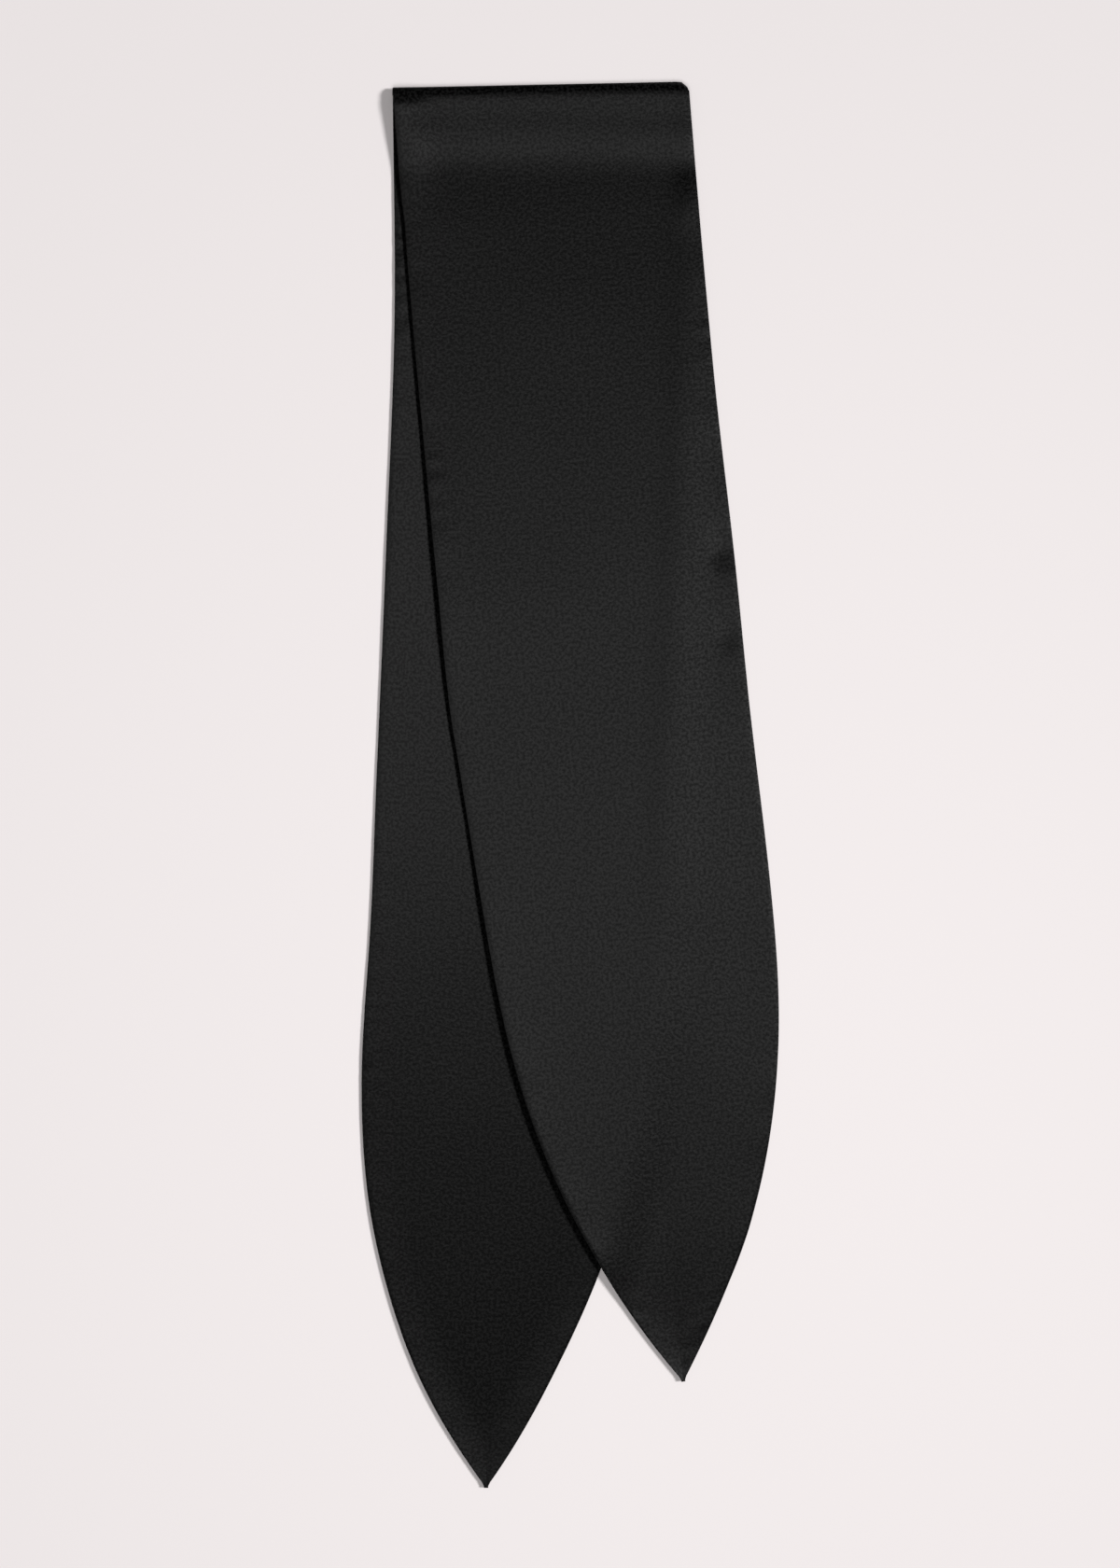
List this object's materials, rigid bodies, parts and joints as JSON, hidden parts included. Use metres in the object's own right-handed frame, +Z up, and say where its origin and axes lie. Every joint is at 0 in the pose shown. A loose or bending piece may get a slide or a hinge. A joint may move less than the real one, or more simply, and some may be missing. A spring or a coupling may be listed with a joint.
{
  "type": "evening scarf",
  "caption": "Long narrow satin evening scarf, sewn double with leaf-shaped pointed ends, laid flat and folded in half with the upper leaf fanned to one side.",
  "frame": {"origin": "the middle of the ground that the folded scarf covers, on the surface it lies on", "axes": "+X to the right across the leaves, +Y along the scarf towards the fold, +Z up off the surface"},
  "size_m": [0.2311, 0.7789, 0.0065],
  "materials": {
    "black_satin": "smooth black satin with a soft sheen along the cloth"
  },
  "bodies": {
    "root": {"outer_panel": "black_satin", "inner_panel": "black_satin"}
  },
  "joints": []
}
